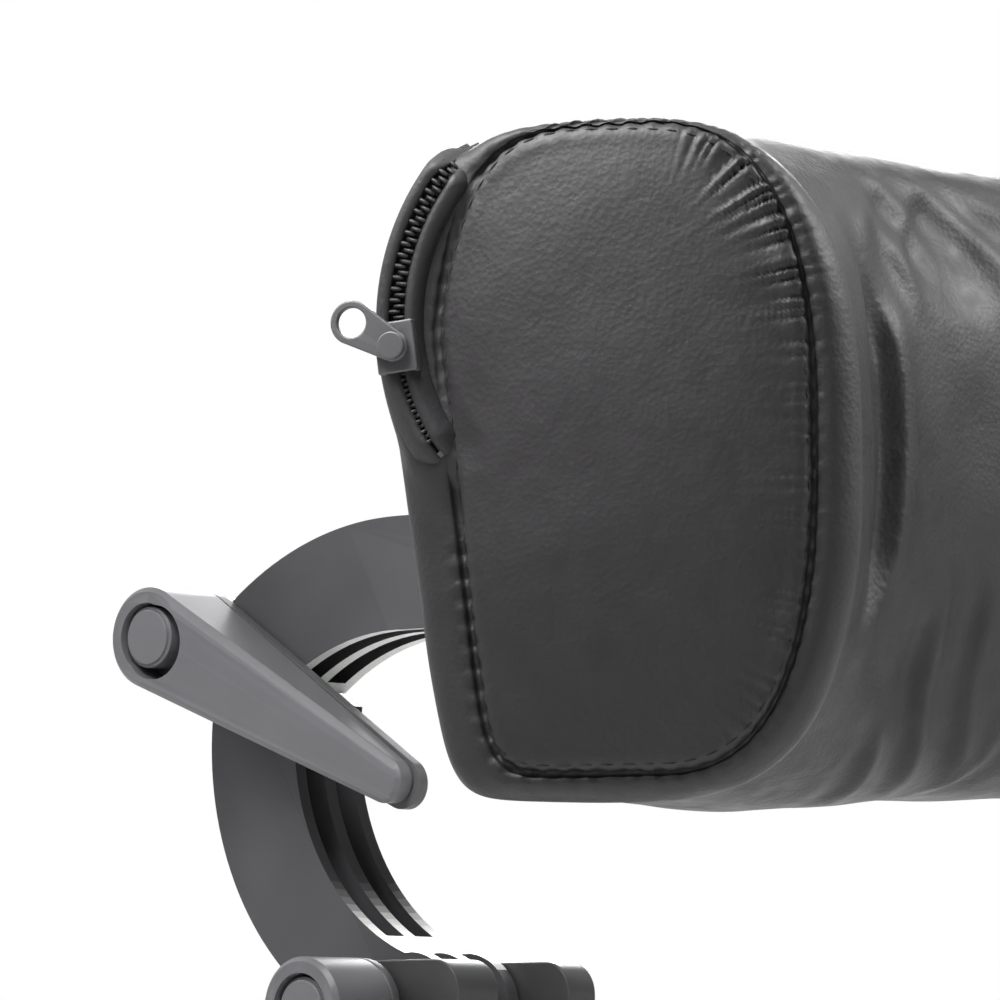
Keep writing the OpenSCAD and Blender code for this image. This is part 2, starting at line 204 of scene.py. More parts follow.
def steel(name):
    m, t, sh = new_material(name)
    v = coords(t, (1, 1, 14))
    streak = add(t, "ShaderNodeTexNoise", Scale=260.0, Detail=4.0)
    t.links.new(v, streak.inputs["Vector"])
    col = ramp(t, streak.outputs["Fac"], [(0.3, grey(0.425)), (0.7, grey(0.55))])
    t.links.new(col.outputs["Color"], sh.inputs["Base Color"])
    rg = ramp(t, streak.outputs["Fac"], [(0.3, grey(0.3)), (0.7, grey(0.45))])
    t.links.new(rg.outputs["Color"], sh.inputs["Roughness"])
    sh.inputs["Metallic"].default_value = 1.0
    bump_chain(t, sh, [(streak.outputs["Fac"], 0.1, 0.0001)])
    return m


def woven(name, lo, hi, pitch=0.0009):
    m, t, sh = new_material(name)
    v = coords(t)
    wx = add(t, "ShaderNodeTexWave", Scale=0.5 / pitch, bands_direction="Z", Distortion=0.4)
    wy = add(t, "ShaderNodeTexWave", Scale=0.5 / pitch, bands_direction="Y", Distortion=0.4)
    for n in (wx, wy):
        t.links.new(v, n.inputs["Vector"])
    both = add(t, "ShaderNodeMath", operation="MULTIPLY")
    t.links.new(wx.outputs["Fac"], both.inputs[0])
    t.links.new(wy.outputs["Fac"], both.inputs[1])
    col = ramp(t, both.outputs["Value"], [(0.2, lo), (0.8, hi)])
    t.links.new(col.outputs["Color"], sh.inputs["Base Color"])
    rg = ramp(t, both.outputs["Value"], [(0.2, grey(0.85)), (0.8, grey(0.7))])
    t.links.new(rg.outputs["Color"], sh.inputs["Roughness"])
    bump_chain(t, sh, [(both.outputs["Value"], 0.5, 0.0003)])
    return m


def plywood(name):
    m, t, sh = new_material(name)
    v = coords(t, (8, 8, 60))
    grain = add(t, "ShaderNodeTexNoise", Scale=12.0, Detail=6.0, Distortion=0.8)
    t.links.new(v, grain.inputs["Vector"])
    col = ramp(t, grain.outputs["Fac"], [(0.3, (0.42, 0.28, 0.15)), (0.7, (0.65, 0.48, 0.3))])
    t.links.new(col.outputs["Color"], sh.inputs["Base Color"])
    rg = ramp(t, grain.outputs["Fac"], [(0.3, grey(0.7)), (0.7, grey(0.55))])
    t.links.new(rg.outputs["Color"], sh.inputs["Roughness"])
    bump_chain(t, sh, [(grain.outputs["Fac"], 0.2, 0.0004)])
    return m


MAT = {
    "leather": leather("leather", (0.0205, 0.019, 0.0205), (0.0275, 0.0255, 0.0275), (0.47, 0.60)),
    "thread": woven("thread", (0.014, 0.013, 0.014), (0.03, 0.028, 0.03), 0.0004),
    "arm_coat": coated("arm_coat", (0.060, 0.058, 0.062), (0.078, 0.076, 0.081), (0.30, 0.42)),
    "bracket_coat": coated("bracket_coat", (0.04, 0.04, 0.042), (0.06, 0.06, 0.062), (0.35, 0.5)),
    "lever_plastic": coated("lever_plastic", (0.125, 0.124, 0.132), (0.155, 0.153, 0.163), (0.36, 0.5)),
    "lever_back_plastic": coated("lever_back_plastic", (0.08, 0.08, 0.083), (0.1, 0.1, 0.103), (0.4, 0.55)),
    "cap_plastic": coated("cap_plastic", (0.125, 0.124, 0.132), (0.155, 0.153, 0.163), (0.4, 0.5)),
    "steel": steel("steel"),
    "nylon": coated("nylon", (0.6, 0.6, 0.57), (0.7, 0.7, 0.67), (0.45, 0.55)),
    "bush_polymer": coated("bush_polymer", (0.06, 0.06, 0.06), (0.09, 0.09, 0.09), (0.5, 0.6)),
    "board": plywood("plywood"),
    "tape": woven("tape", (0.008, 0.008, 0.008), (0.03, 0.03, 0.03)),
    "teeth": coated("teeth", (0.008, 0.008, 0.008), (0.014, 0.014, 0.014), (0.45, 0.6)),
    "zip_metal": coated("zip_metal", (0.07, 0.07, 0.073), (0.10, 0.10, 0.104), (0.28, 0.4)),
}
# The arm's coat gets a painted highlight and painted shade on its rib edges
paint_rib_highlight_and_shade(MAT["arm_coat"].node_tree, MAT["arm_coat"].node_tree.nodes["Principled BSDF"])
SLOT_OF = {s["node"]: s["material_slot"] for s in frame["record"]["subparts"]}
BODY_OF = {n: b for b, ns in frame["record"]["behaviour"]["bodies"].items() for n in ns}
for node, obj in frame["nodes"].items():
    mat = MAT.get(SLOT_OF[node])
    if mat:
        obj.data.materials.clear()
        obj.data.materials.append(mat)


def mesh_object(name, verts, faces, mat):
    me = bpy.data.meshes.new(name)
    me.from_pydata([tuple(v) for v in verts], [], faces)
    me.materials.append(mat)
    me.polygons.foreach_set("use_smooth", [True] * len(me.polygons))
    me.update()
    o = bpy.data.objects.new(name, me)
    scene.collection.objects.link(o)
    return o


def bake_modifiers(o):
    """Replaces an object's mesh by the result of its modifiers."""
    graph = bpy.context.evaluated_depsgraph_get()
    graph.update()
    done = bpy.data.meshes.new_from_object(o.evaluated_get(graph), preserve_all_data_layers=True,
                                           depsgraph=graph)
    o.modifiers.clear()
    o.data = done


def points_of(mesh):
    co = np.empty(len(mesh.vertices) * 3)
    mesh.vertices.foreach_get("co", co)
    return co.reshape(-1, 3)


def normals_of(mesh):
    no = np.empty(len(mesh.vertices) * 3)
    mesh.vertex_normals.foreach_get("vector", no)
    return no.reshape(-1, 3)


def set_points(mesh, co):
    mesh.vertices.foreach_set("co", co.ravel())
    mesh.update()


def smooth01(t):
    t = np.clip(t, 0, 1)
    return t * t * (3 - 2 * t)


# ---------------------------------------------------------------- moulded and cast pieces
def softened(node, width):
    """A copy of a CAD node with rounded edges, standing for the node."""
    me = frame["nodes"][node].data.copy()
    bm = bmesh.new()
    bm.from_mesh(me)
    bmesh.ops.remove_doubles(bm, verts=bm.verts, dist=1e-6)
    bmesh.ops.dissolve_limit(bm, angle_limit=math.radians(0.6), verts=bm.verts, edges=bm.edges)
    bm.to_mesh(me)
    bm.free()
    o = bpy.data.objects.new(node + "_moulded", me)
    scene.collection.objects.link(o)
    bevel = o.modifiers.new("edges", "BEVEL")
    bevel.width = width
    bevel.segments = 3
    bevel.limit_method = "ANGLE"
    bevel.angle_limit = math.radians(32)
    bevel.use_clamp_overlap = True
    bevel.harden_normals = False
    bevel.miter_outer = "MITER_ARC"
    bake_modifiers(o)
    o.data.polygons.foreach_set("use_smooth", [True] * len(o.data.polygons))
    o.data.set_sharp_from_angle(angle=math.radians(34))
    weighted = o.modifiers.new("flat faces", "WEIGHTED_NORMAL")
    weighted.keep_sharp = True
    bake_modifiers(o)
    o.data.materials.clear()
    o.data.materials.append(MAT[SLOT_OF[node]])
    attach(o, BODY_OF[node])
    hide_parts(node)
    return o


for node, width in (("lower_arm", 0.0008), ("upper_arm", 0.0008), ("base_bracket", 0.0006),
                    ("tilt_bracket", 0.0006), ("lower_lever", 0.0014), ("upper_lever", 0.0014),
                    ("lower_lever_back", 0.0006), ("upper_lever_back", 0.0006), ("lower_lever_cap", 0.0004),
                    ("upper_lever_cap", 0.0004), ("zipper_slider", 0.0005), ("zipper_pull", 0.0004)):
    softened(node, width)

# Circle that the inner edges of each arm's ribs lie on: centre as (Y, Z) and radius
INNER_CIRCLES = {"lower_arm": ((0.0105, 0.0975), 0.0502), "upper_arm": ((0.0305, 0.0616), 0.0585)}
# The lower arm's rib edges turn from painted shade to a painted highlight below this height, over this much
# of it
HIGHLIGHT_BELOW = 0.068
HIGHLIGHT_FADE = 0.014
# What counts as a rib edge: how near it lies to the circle, and how little it faces sideways
EDGE_NEAR = 0.0009
EDGE_SIDEWAYS = 0.3


def mark_painted_rib_light(o, centre, radius, fade):
    """Marks the rib edges for painted light: 1 (painted highlight) all along, or with fade from 1 at the
    bottom to -1 (painted shade) at the top.
    """
    co = points_of(o.data)
    r = np.hypot(co[:, 1] - centre[0], co[:, 2] - centre[1])
    layer = o.data.attributes.new("painted_light", "FLOAT", "FACE")
    for poly, value in zip(o.data.polygons, layer.data):
        rim = r[list(poly.vertices)]
        value.value = 0.0
        if rim.max() - radius < EDGE_NEAR and abs(poly.normal.x) < EDGE_SIDEWAYS:
            bright = smooth01((HIGHLIGHT_BELOW - poly.center.z) / HIGHLIGHT_FADE)
            value.value = float(2 * bright - 1 if fade else 1)


# Rib edges carry a painted highlight on both arms; up the lower arm it turns to painted shade
for node, (centre, radius) in INNER_CIRCLES.items():
    mark_painted_rib_light(bpy.data.objects[node + "_moulded"], centre, radius, node == "lower_arm")

# ---------------------------------------------------------------- cushion form
# The back face is an arc about an upright axis: its radius, half its angle, and Y of its middle and centre
BACK_R = 0.315
HALF_A = math.radians(24.4)
PAD_Y = -0.049
PAD_CY = PAD_Y - BACK_R
# Section at the middle and at the ends: thickness, height of its middle and whole height
THICK = (0.070, 0.096)
MID_Z = (0.1485, 0.1403)
TALL = (0.130, 0.1305)
# Exponents of its outline, where 1 is round and 0 is square
FRONT_ROUND = 0.74
BACK_TOP_ROUND = 0.5
BACK_LOW_ROUND = (0.32, 0.2)
# Towards the ends the back slants forwards, by a share of the distance below or above this height
LEAN_Z = 0.165
LEAN_BELOW = 0.15
LEAN_ABOVE = 0.10
# Ends of the cushion: share of the section kept in depth and height, and how far out
ROUND = [(0.985, 0.997, 0.0032), (0.955, 0.990, 0.0052), (0.915, 0.981, 0.0066), (0.865, 0.971, 0.0074),
         (0.815, 0.962, 0.0077), (0.797, 0.959, 0.0076)]
SEAM_AT = (0.785, 0.957, 0.0070)
PANEL_EDGE = (0.772, 0.954, 0.0078)
# The end seam lies nearer the front than the back: shift per share of depth lost
SEAM_SHIFT = 0.0125
# It lies nearer the top than the bottom: lift per share of height lost
SEAM_LIFT = 0.048
PANEL_CROWN = 0.0045
CROWN_SHAPE = 0.55
# Points along each side of the outline, steps along the cushion, and angles where the sides meet
SIDE = 42
STATIONS = 70
CORNERS = [math.radians(a) for a in (-45, 45, 138, 222, 315)]


def spow(v, e):
    """A power that keeps the sign."""
    return math.copysign(abs(v) ** e, v)


def lerp2(a, b, s):
    """From a at the middle to b at the ends, with the square of the station."""
    return a + (b - a) * s * s


def section(s, a):
    """Depth behind the back face and height of the outline at station s, angle a, and the middle of both."""
    ca, sa = math.cos(a), math.sin(a)
    ex = FRONT_ROUND if ca < 0 else lerp2(*BACK_LOW_ROUND, s) if sa < 0 else BACK_TOP_ROUND
    th = lerp2(*THICK, s)
    zc = lerp2(*MID_Z, s)
    z = zc + lerp2(*TALL, s) / 2 * spow(sa, ex)
    d = th / 2 * (1 - spow(ca, ex))
    lean = s ** 4 * (LEAN_BELOW * (LEAN_Z - z) if z < LEAN_Z else LEAN_ABOVE * (z - LEAN_Z))
    return d + lean * (1 - d / th), z, th / 2, zc


def place(s, d, z, out):
    """The point at station s, depth d and height z, moved out past the end."""
    w = s * HALF_A
    r = BACK_R - d
    sg = math.copysign(1.0, s) if s else 0.0
    return Vector((r * math.sin(w) + out * sg * math.cos(w),
                   PAD_CY + r * math.cos(w) - out * abs(math.sin(w)), z))


def on_outline(s, a, kd=1.0, kz=1.0, out=0.0):
    d, z, dm, zc = section(s, a)
    depth = dm + kd * (d - dm) + SEAM_SHIFT * (1 - kd)
    return place(s, depth, zc + kz * (z - zc) + SEAM_LIFT * (1 - kz), out)


def loop_angles(s):
    """Angles at even spacing along each of the outline's four sides."""
    angles = []
    for c0, c1 in zip(CORNERS, CORNERS[1:]):
        fine = [c0 + (c1 - c0) * i / 200 for i in range(201)]
        pts = [section(s, a)[:2] for a in fine]
        run = [0.0]
        for p, q in zip(pts, pts[1:]):
            run.append(run[-1] + math.dist(p, q))
        j = 0
        for i in range(SIDE):
            want = run[-1] * i / SIDE
            while run[j + 1] < want:
                j += 1
            f = (want - run[j]) / max(run[j + 1] - run[j], 1e-9)
            angles.append(fine[j] + (fine[j + 1] - fine[j]) * f)
    return angles


END_ANGLES = loop_angles(1.0)


def end_ring(sign, kd, kz, out):
    return [on_outline(sign, a, kd, kz, out) for a in END_ANGLES]


def end_normal(sign):
    return Vector((sign * math.cos(HALF_A), -math.sin(HALF_A), 0))


def end_panel(verts, faces, base, sign):
    """Fills the ring that starts at vertex base with a crowned patch."""
    n = 4 * SIDE
    loop = [verts[base + i] for i in range(n)]
    normal = end_normal(sign)
    grid = {}
    for i in range(SIDE + 1):
        for j in range(SIDE + 1):
            if i in (0, SIDE) or j in (0, SIDE):
                idx = i if j == 0 else SIDE + j if i == SIDE else 3 * SIDE - i if j == SIDE else 4 * SIDE - j
                grid[i, j] = base + idx % n
                continue
            u, v = i / SIDE, j / SIDE
            p = (loop[i] * (1 - v) + loop[3 * SIDE - i] * v + loop[(4 * SIDE - j) % n] * (1 - u)
                 + loop[SIDE + j] * u - loop[0] * (1 - u) * (1 - v) - loop[SIDE] * u * (1 - v)
                 - loop[3 * SIDE] * (1 - u) * v - loop[2 * SIDE] * u * v)
            crown = (1 - (2 * u - 1) ** 2) * (1 - (2 * v - 1) ** 2)
            grid[i, j] = len(verts)
            verts.append(p + normal * PANEL_CROWN * crown ** CROWN_SHAPE)
    for i in range(SIDE):
        for j in range(SIDE):
            f = (grid[i, j], grid[i + 1, j], grid[i + 1, j + 1], grid[i, j + 1])
            faces.append(f if sign > 0 else tuple(reversed(f)))


def cushion_mesh():
    """Rings of the body from end to end, and a patch on each end; also which vertices lie on a seam."""
    ends = ROUND + [SEAM_AT, PANEL_EDGE]
    rings = [end_ring(-1, *e) for e in reversed(ends)]
    for i in range(STATIONS + 1):
        s = -1 + 2 * i / STATIONS
        rings.append([on_outline(s, a) for a in loop_angles(s)])
    rings += [end_ring(1, *e) for e in ends]
    n = 4 * SIDE
    verts = [p for r in rings for p in r]
    faces = [(j * n + i, j * n + (i + 1) % n, (j + 1) * n + (i + 1) % n, (j + 1) * n + i)
             for j in range(len(rings) - 1) for i in range(n)]
    end_panel(verts, faces, 0, -1)
    end_panel(verts, faces, (len(rings) - 1) * n, 1)
    seams = list(range(n, 2 * n)) + list(range((len(rings) - 2) * n, (len(rings) - 1) * n))
    return verts, faces, seams


# Share of the swelling that is taken back, so that the cushion keeps its size
SWELL_KEPT_BACK = 0.75
# The furthest that a point may move
SWELL_CAP = 0.003
# Share of the movement taken off on the ends and the back. It is full this far beyond the end's plane, and
# starts at this depth from the back face, over this run
CALMED = 0.6
CALM_END = 0.006
CALM_DEPTH, CALM_RUN = 0.03, 0.015
CLOTH_FRAMES = 20
EVEN_ROUNDS = 6


def evened(o, moved):
    """A movement of the mesh's points, averaged with their neighbours' so that it has no sharp crumples."""
    edges = np.array([tuple(e.vertices) for e in o.data.edges])
    count = np.maximum(np.bincount(edges.ravel(), minlength=len(moved)), 1)[:, None]
    for _ in range(EVEN_ROUNDS):
        near = np.zeros_like(moved)
        np.add.at(near, edges[:, 0], moved[edges[:, 1]])
        np.add.at(near, edges[:, 1], moved[edges[:, 0]])
        moved = 0.5 * moved + 0.5 * near / count
    return moved


def inflate(o, pinned, back_hold):
    """Cloth simulation of the leather under the push of the foam, with the seams held."""
    start, normals = points_of(o.data), normals_of(o.data)
    group = o.vertex_groups.new(name="held")
    group.add(pinned, 1.0, "REPLACE")
    group.add([int(i) for i in back_hold], 1.0, "REPLACE")
    cloth = o.modifiers.new("cloth", "CLOTH")
    cs = cloth.settings
    cs.quality = 6
    cs.mass = 0.15
    cs.tension_stiffness = cs.compression_stiffness = 12
    cs.shear_stiffness = 6
    cs.bending_stiffness = 0.4
    cs.use_pressure = True
    cs.uniform_pressure_force = 4
    cs.shrink_min = -0.012
    cs.vertex_group_mass = "held"
    cs.effector_weights.gravity = 0
    cloth.collision_settings.use_collision = False
    cloth.point_cache.frame_start, cloth.point_cache.frame_end = 1, CLOTH_FRAMES
    for f in range(1, CLOTH_FRAMES + 1):
        scene.frame_set(f)
    bake_modifiers(o)
    scene.frame_set(1)
    moved = evened(o, points_of(o.data) - start)
    far = np.linalg.norm(moved, axis=1, keepdims=True)
    o.vertex_groups.clear()
    moved *= np.minimum(1, SWELL_CAP / np.maximum(far, 1e-9))
    over_end = np.abs(start[:, 0]) * math.cos(HALF_A) - (start[:, 1] - PAD_CY) * math.sin(HALF_A)
    calm = 1 - CALMED * smooth01(over_end / CALM_END)[:, None]
    on_back = np.hypot(start[:, 0], start[:, 1] - PAD_CY) - BACK_R
    calm *= 1 - CALMED * smooth01((on_back + CALM_DEPTH) / CALM_RUN)[:, None]
    swelling = np.minimum(far, SWELL_CAP) * SWELL_KEPT_BACK
    set_points(o.data, start + (moved - normals * swelling) * calm)


# ---------------------------------------------------------------- relief on the leather
def hash01(i):
    """A fixed scatter between 0 and 1, one value for each number."""
    return (np.sin(i * 127.1 + 11.7) * 43758.5453) % 1.0


LINE_STEP = 0.0008
SEAM_STEP = 0.0004


def curve_points(ctrl, step):
    """Even points along a smooth curve through control points (Catmull-Rom)."""
    p = [Vector(c) for c in ctrl]
    p = [p[0] * 2 - p[1]] + p + [p[-1] * 2 - p[-2]]
    out = []
    for a, b, c, d in zip(p, p[1:], p[2:], p[3:]):
        k = max(2, int((c - b).length / step))
        for i in range(k):
            t = i / k
            out.append(0.5 * (2 * b + (c - a) * t + (2 * a - 5 * b + 4 * c - d) * t * t
                              + (3 * b - a - 3 * c + d) * t ** 3))
    out.append(p[-2])
    return np.array([tuple(q) for q in out])


def fading(k, count):
    """0 at the ends of a line of count points, 1 along its middle."""
    t = k / (count - 1)
    return smooth01(2.6 * t) * smooth01(2.6 * (1 - t))


def near_line(co, pts, margin):
    """In batches: which points lie near a line, the nearest of its points to each, and how far it is."""
    lo, hi = pts.min(0) - margin, pts.max(0) + margin
    near = np.nonzero(((co > lo) & (co < hi)).all(1))[0]
    for chunk in np.array_split(near, max(1, len(near) // 20000)):
        d2 = ((co[chunk, None, :] - pts[None, :, :]) ** 2).sum(2)
        k = d2.argmin(1)
        yield chunk, k, np.sqrt(d2[np.arange(len(chunk)), k])


def crease(co, pts, depth, width):
    """Height along a line on the leather: a groove (depth < 0) or ridge, fading towards its ends."""
    h = np.zeros(len(co))
    for chunk, k, d in near_line(co, pts, 3 * width):
        h[chunk] = depth * fading(k, len(pts)) * np.exp(-(d / width) ** 2)
    return h


def front_curve(ctrl):
    """A curve over the leather from (station, angle in degrees) pairs."""
    return curve_points([on_outline(s, math.radians(a)) for s, a in ctrl], LINE_STEP)


def fold(co, pts, ridge, valley, width, side):
    """A ridge along a line with a wider valley beside it, on the side that the vector points to."""
    shift = np.array(side) * width * 1.3
    return crease(co, pts, ridge, width * 0.62) + crease(co, pts + shift, valley, width)


# The overlap's drop on the outer side, how far that reaches, and the low lip along its edge
OVERLAP_DROP = 0.0041
OVERLAP_REACH = 0.020
OVERLAP_LIP = 0.0009


def overlap(co, pts, sign):
    """A soft edge where the front panel folds over towards the wing: a drop on the outer side."""
    h = np.zeros(len(co))
    for chunk, k, d in near_line(co, pts, OVERLAP_REACH):
        out = d * np.sign((co[chunk, 0] - pts[k, 0]) * sign)
        valley = smooth01((out + 0.0010) / 0.0052) * np.exp(-(np.maximum(out, 0) / OVERLAP_REACH * 1.7) ** 2)
        lip = OVERLAP_LIP * np.exp(-((out + 0.0030) / 0.0042) ** 2)
        h[chunk] = fading(k, len(pts)) * (lip - OVERLAP_DROP * valley)
    return h


# Folds of the front panel: path as (station, angle), ridge, valley, half width
FOLDS = [
    (((-0.20, 116), (-0.14, 124), (-0.09, 133), (-0.05, 143), (-0.02, 156)), 0.0008, -0.0012, 0.0050),
    (((-0.09, 116), (0.01, 125), (0.08, 134), (0.14, 145), (0.18, 158)), 0.0008, -0.0012, 0.0052),
    (((0.07, 118), (0.18, 128), (0.27, 139), (0.33, 153)), 0.0007, -0.0010, 0.0052),
    (((-0.24, 136), (-0.19, 144), (-0.15, 153), (-0.13, 164)), 0.0005, -0.0009, 0.0044),
    (((0.05, 268), (-0.03, 238), (-0.06, 214), (-0.05, 190)), 0.0013, -0.0017, 0.0048),
    (((0.18, 268), (0.11, 238), (0.08, 214), (0.09, 190)), 0.0010, -0.0013, 0.0048),
    (((-0.10, 268), (-0.17, 242), (-0.20, 220)), 0.0009, -0.0011, 0.0042),
]
# Edge of the overlap and the line inside it, as (station, angle)
OVERLAP = ((-0.40, 138), (-0.33, 150), (-0.27, 164), (-0.25, 180), (-0.28, 196), (-0.37, 212), (-0.46, 228))
INNER_LINE = ((-0.42, 158), (-0.36, 172), (-0.35, 184), (-0.39, 200), (-0.45, 212))


# How far the leather hangs below the foam, the station where it hangs most and its spread, and the share of
# that by which it is drawn up towards the end without a zip
BELLY = 0.0056
BELLY_AT = -0.20
BELLY_WIDTH = 0.36
DRAWN_UP = 0.45
# Where the underside begins, and the height of the leather's slow swell
UNDERSIDE_Z = 0.105
SWELL_HEIGHT = 0.00035


def front_relief(rest):
    """Folds of the front panel over the whole cushion, mirrored where they are far from its middle."""
    station = np.arctan2(rest[:, 0], rest[:, 1] - PAD_CY) / HALF_A
    underside = smooth01((UNDERSIDE_Z - rest[:, 2]) / 0.025)
    h = SWELL_HEIGHT * undulation(rest)
    h += BELLY * underside * np.exp(-((station - BELLY_AT) / BELLY_WIDTH) ** 2)
    h -= DRAWN_UP * BELLY * underside * smooth01((station - 0.28) / 0.3) * smooth01((0.95 - station) / 0.25)
    for ctrl, ridge, valley, width in FOLDS:
        h += fold(rest, front_curve(ctrl), ridge, valley, width, (-0.8, 0, -0.4))
        if abs(ctrl[-1][0]) > 0.1:
            twin = front_curve([(-s, a) for s, a in ctrl])
            h += 0.8 * fold(rest, twin, ridge, valley, width, (0.8, 0, -0.4))
    for sign in (-1, 1):
        h += overlap(rest, front_curve([(-sign * s, a) for s, a in OVERLAP]), sign)
        h += crease(rest, front_curve([(-sign * s, a) for s, a in INNER_LINE]), -0.0015, 0.0022)
    return h


class EndSeam:
    """Where the leather's points lie relative to the seam round one end panel."""

    def __init__(self, sign, rest):
        ring = end_ring(sign, *SEAM_AT)
        self.line = curve_points(ring + [ring[0]], SEAM_STEP)
        step = np.linalg.norm(np.diff(self.line, axis=0), axis=1)
        run = np.concatenate([[0], np.cumsum(step)])
        tree = KDTree(len(self.line))
        for i, p in enumerate(self.line):
            tree.insert(p, i)
        tree.balance()
        normal = np.array(end_normal(sign))
        centre = np.array(on_outline(sign, 0, 0, 0))
        self.near = np.nonzero((rest - centre) @ normal > -0.03)[0]
        hit = [tree.find(rest[i])[1:] for i in self.near]
        k = np.array([h[0] for h in hit])
        self.dist = np.array([h[1] for h in hit])
        self.along = run[k]
        foot = self.line[k]
        inward = centre - foot
        inward -= np.outer(inward @ normal, normal)
        inward /= np.linalg.norm(inward, axis=1, keepdims=True)
        self.inside = ((rest[self.near] - foot) * inward).sum(1) > 0
        front = -foot @ np.array((sign * math.sin(HALF_A), math.cos(HALF_A), 0))
        self.depth = BACK_R + (front + PAD_CY * math.cos(HALF_A))
        self.height = foot[:, 2]


# Depth and half width of the groove, height, place and half width of the swell beside it, and stitch puckers
GROOVE, GROOVE_WIDTH = 0.0010, 0.0009
SHOULDER, SHOULDER_AT, SHOULDER_WIDTH = 0.0003, 0.0030, 0.0018
PUCKER, PUCKER_WIDTH = 0.0003, 0.0020
GATHER, GATHER_PITCH = 0.0011, 0.0031
STITCH_PITCH = 0.0044
# The gathers lie near the front, strong above this height and at this share of it below
GATHER_Z = 0.150
LOW_GATHERS = 0.22


def seam_height(seam):
    """Groove, stitch puckers and gathers, as heights along the leather's normal."""
    d, along = seam.dist, seam.along
    front = smooth01((seam.depth - 0.045) / 0.03)
    h = -GROOVE * (1 - 0.6 * front) * np.exp(-(d / GROOVE_WIDTH) ** 2)
    h += SHOULDER * np.exp(-((d - SHOULDER_AT) / SHOULDER_WIDTH) ** 2)
    turn = along / STITCH_PITCH
    h -= PUCKER * (1 - 0.55 * front) * np.exp(-(d / PUCKER_WIDTH) ** 2) * np.cos(2 * np.pi * turn)
    upper = smooth01((seam.depth - 0.060) / 0.012) * smooth01((seam.height - GATHER_Z) / 0.025)
    lower = smooth01((seam.depth - 0.070) / 0.008) * (1 - smooth01((seam.height - GATHER_Z) / 0.020))
    strength = upper + LOW_GATHERS * lower
    n = along / GATHER_PITCH
    wobble = 0.35 * np.sin(along * 310.0) + 0.25 * np.sin(along * 790.0 + 1.3)
    cell = np.floor(n + wobble)
    reach = 0.0050 + 0.0060 * hash01(cell)
    power = 0.55 + 0.45 * hash01(cell + 57.0)
    ridge = 1 - 2 * np.abs(np.sin(np.pi * (n + wobble))) ** 0.8
    panel = np.where(seam.inside, smooth01(d / 0.0018) * np.exp(-(d / reach) ** 2), 0)
    body = np.where(seam.inside, 0, 0.35 * smooth01(d / 0.0015) * np.exp(-(d / 0.0035) ** 2))
    return h - GATHER * strength * power * ridge * (panel + body)


def undulation(p):
    """Slow, uneven swell of leather over foam, from a few crossed waves."""
    x, y, z = p[:, 0], p[:, 1], p[:, 2]
    return (0.45 * np.sin(61 * x + 37 * z + 1.1) * np.sin(83 * z - 29 * y)
            + 0.30 * np.sin(143 * x - 71 * y + 2.2) * np.sin(97 * z + 53 * x)
            + 0.25 * np.sin(211 * z + 131 * y + 0.4) * np.sin(173 * x + 0.9))


# ---------------------------------------------------------------- zip
# The zip lies on an arc: its radius, and its centre's height and depth from the back face
ZIP_R = 0.045
ZIP_Z = 0.168
ZIP_D = 0.051
# Its upper and lower ends and the slider's rest place, in degrees from straight up
ZIP_A0, ZIP_A1 = 44, 128
ZIP_REST = 97
# How far its tape lies out from the end's plane
ZIP_OUT = 0.009
ZIP_C = Vector((-(BACK_R - ZIP_D) * math.sin(HALF_A), PAD_CY + (BACK_R - ZIP_D) * math.cos(HALF_A), ZIP_Z))
ZIP_UP = Vector((0, 0, 1))
ZIP_BACK = Vector((-math.sin(HALF_A), math.cos(HALF_A), 0))
ZIP_E = end_normal(-1)


def zip_point(r, angle, out):
    a = math.radians(angle)
    return ZIP_C + ZIP_UP * r * math.cos(a) + ZIP_BACK * r * math.sin(a) + ZIP_E * out


# Raised leather under the zip: half width, its slopes inside and outside the arc, how far it stays below
# the tape, and how far a point may sink or rise
BED_HALF_WIDTH = 0.0042
BED_SLOPE_IN, BED_SLOPE_OUT = 0.0056, 0.0040
BED_BELOW = 0.0005
BED_SINK, BED_RISE = -0.004, 0.006


def zip_bed(rest, co):
    """Raises the leather under the zip to just below its tape."""
    q = rest - np.array(ZIP_C)
    up, back, out = q @ np.array(ZIP_UP), q @ np.array(ZIP_BACK), q @ np.array(ZIP_E)
    r = np.hypot(up, back)
    ang = np.degrees(np.arctan2(back, up))
    along = smooth01((ang - ZIP_A0 + 1) / 9) * smooth01((ZIP_A1 + LIP_RUN - ang) / LIP_RUN)
    slope = np.where(r < ZIP_R, BED_SLOPE_IN, BED_SLOPE_OUT)
    across = 1 - smooth01((np.abs(r - ZIP_R) - BED_HALF_WIDTH) / slope)
    level = (co - np.array(ZIP_C)) @ np.array(ZIP_E)
    lift = np.clip(ZIP_OUT - BED_BELOW - level, BED_SINK, BED_RISE) * along * across * (out > 0.0005)
    return co + np.outer(lift, np.array(ZIP_E))


def sweep(name, profile, angles, mat):
    """A profile of (radius, out) pairs, which may change with the angle, swept along the zip's arc."""
    verts, faces = [], []
    for a in angles:
        verts += [zip_point(r, a, o) for r, o in profile(a)]
    n = len(profile(angles[0]))
    for j in range(len(angles) - 1):
        for i in range(n):
            b = (i + 1) % n
            faces.append((j * n + i, (j + 1) * n + i, (j + 1) * n + b, j * n + b))
    faces.append(tuple(range(n)))
    faces.append(tuple(reversed(range(len(verts) - n, len(verts)))))
    o = mesh_object(name, verts, faces, mat)
    tidy_normals(o)
    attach(o, "headrest")
    return o


def tidy_normals(o):
    bm = bmesh.new()
    bm.from_mesh(o.data)
    bmesh.ops.recalc_face_normals(bm, faces=bm.faces)
    bm.to_mesh(o.data)
    bm.free()


def steps(a, b, n):
    return [a + (b - a) * i / n for i in range(n + 1)]


# How far the lips run past the zip's lower end, which is also how soon they reach full width, in degrees
LIP_RUN = 6
